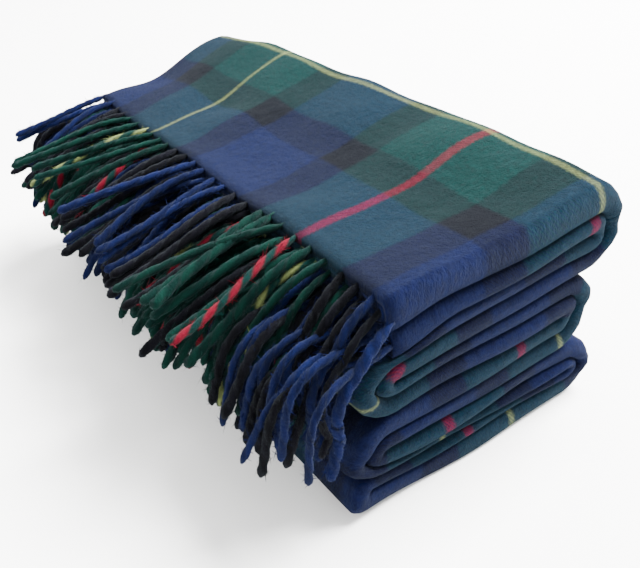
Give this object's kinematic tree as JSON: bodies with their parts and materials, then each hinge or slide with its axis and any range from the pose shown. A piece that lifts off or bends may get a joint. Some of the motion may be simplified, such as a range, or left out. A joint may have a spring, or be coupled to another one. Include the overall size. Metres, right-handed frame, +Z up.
{
  "type": "camp blanket",
  "caption": "Folded tartan camp blanket: one woven wool cloth folded into a stack of leaves, with a twisted-tassel fringe at both ends, its top leaf opening.",
  "frame": {"origin": "on the surface the folded blanket lies on, under the middle of its folded width", "axes": "+X along the fringed edge to its right end, +Y towards the back folds, +Z up"},
  "size_m": [0.3304, 0.2112, 0.1203],
  "materials": {
    "tartan_cloth": "brushed wool, woven in blue, black and green bands with thin red and yellow lines",
    "blue_tassel": "twisted brushed wool yarn, blue",
    "black_tassel": "twisted brushed wool yarn, black",
    "green_tassel": "twisted brushed wool yarn, green",
    "overcheck_tassel": "twisted brushed wool yarn, red or yellow with green"
  },
  "bodies": {
    "stack": {"second_leaf": "tartan_cloth", "third_leaf": "tartan_cloth", "fourth_leaf": "tartan_cloth", "fifth_leaf": "tartan_cloth", "sixth_leaf": "tartan_cloth", "seventh_leaf": "tartan_cloth", "eighth_leaf": "tartan_cloth", "ninth_leaf": "tartan_cloth", "tenth_leaf": "tartan_cloth", "eleventh_leaf": "tartan_cloth", "bottom_leaf": "tartan_cloth", "upper_back_outer_turn": "tartan_cloth", "upper_back_inner_turn": "tartan_cloth", "middle_back_outer_turn": "tartan_cloth", "middle_back_inner_turn": "tartan_cloth", "lower_back_outer_turn": "tartan_cloth", "lower_back_inner_turn": "tartan_cloth", "upper_front_outer_turn": "tartan_cloth", "upper_front_inner_turn": "tartan_cloth", "middle_front_outer_turn": "tartan_cloth", "middle_front_inner_turn": "tartan_cloth", "lower_front_turn": "tartan_cloth", "second_end_row_1_blue_tassels": "blue_tassel", "second_end_row_1_black_tassels": "black_tassel", "second_end_row_1_green_tassels": "green_tassel", "second_end_row_1_overcheck_tassels": "overcheck_tassel", "second_end_row_2_blue_tassels": "blue_tassel", "second_end_row_2_black_tassels": "black_tassel", "second_end_row_2_green_tassels": "green_tassel", "second_end_row_2_overcheck_tassels": "overcheck_tassel", "second_end_row_3_blue_tassels": "blue_tassel", "second_end_row_3_black_tassels": "black_tassel", "second_end_row_3_green_tassels": "green_tassel", "second_end_row_3_overcheck_tassels": "overcheck_tassel", "second_end_row_4_blue_tassels": "blue_tassel", "second_end_row_4_black_tassels": "black_tassel", "second_end_row_4_green_tassels": "green_tassel", "second_end_row_4_overcheck_tassels": "overcheck_tassel"},
    "top_leaf": {"top_leaf": "tartan_cloth"},
    "top_fringe": {"first_end_row_1_blue_tassels": "blue_tassel", "first_end_row_1_black_tassels": "black_tassel", "first_end_row_1_green_tassels": "green_tassel", "first_end_row_1_overcheck_tassels": "overcheck_tassel", "first_end_row_2_blue_tassels": "blue_tassel", "first_end_row_2_black_tassels": "black_tassel", "first_end_row_2_green_tassels": "green_tassel", "first_end_row_2_overcheck_tassels": "overcheck_tassel", "first_end_row_3_blue_tassels": "blue_tassel", "first_end_row_3_black_tassels": "black_tassel", "first_end_row_3_green_tassels": "green_tassel", "first_end_row_3_overcheck_tassels": "overcheck_tassel", "first_end_row_4_blue_tassels": "blue_tassel", "first_end_row_4_black_tassels": "black_tassel", "first_end_row_4_green_tassels": "green_tassel", "first_end_row_4_overcheck_tassels": "overcheck_tassel"}
  },
  "joints": [
    {"name": "top_leaf_fold", "type": "hinge", "parent": "stack", "child": "top_leaf", "pos_m": [0, 0.06409, 0.1098], "axis": [-1, 0, 0], "range_deg": [0, 110]},
    {"name": "top_fringe_hang", "type": "hinge", "parent": "top_leaf", "child": "top_fringe", "pos_m": [0, -0.0625, 0.1078], "axis": [-0.9968, 0.0797, 0], "range_deg": [-110, 0]}
  ],
  "couplings": [
    {"joint": "top_fringe_hang", "follows": "top_leaf_fold", "ratio": -1}
  ]
}
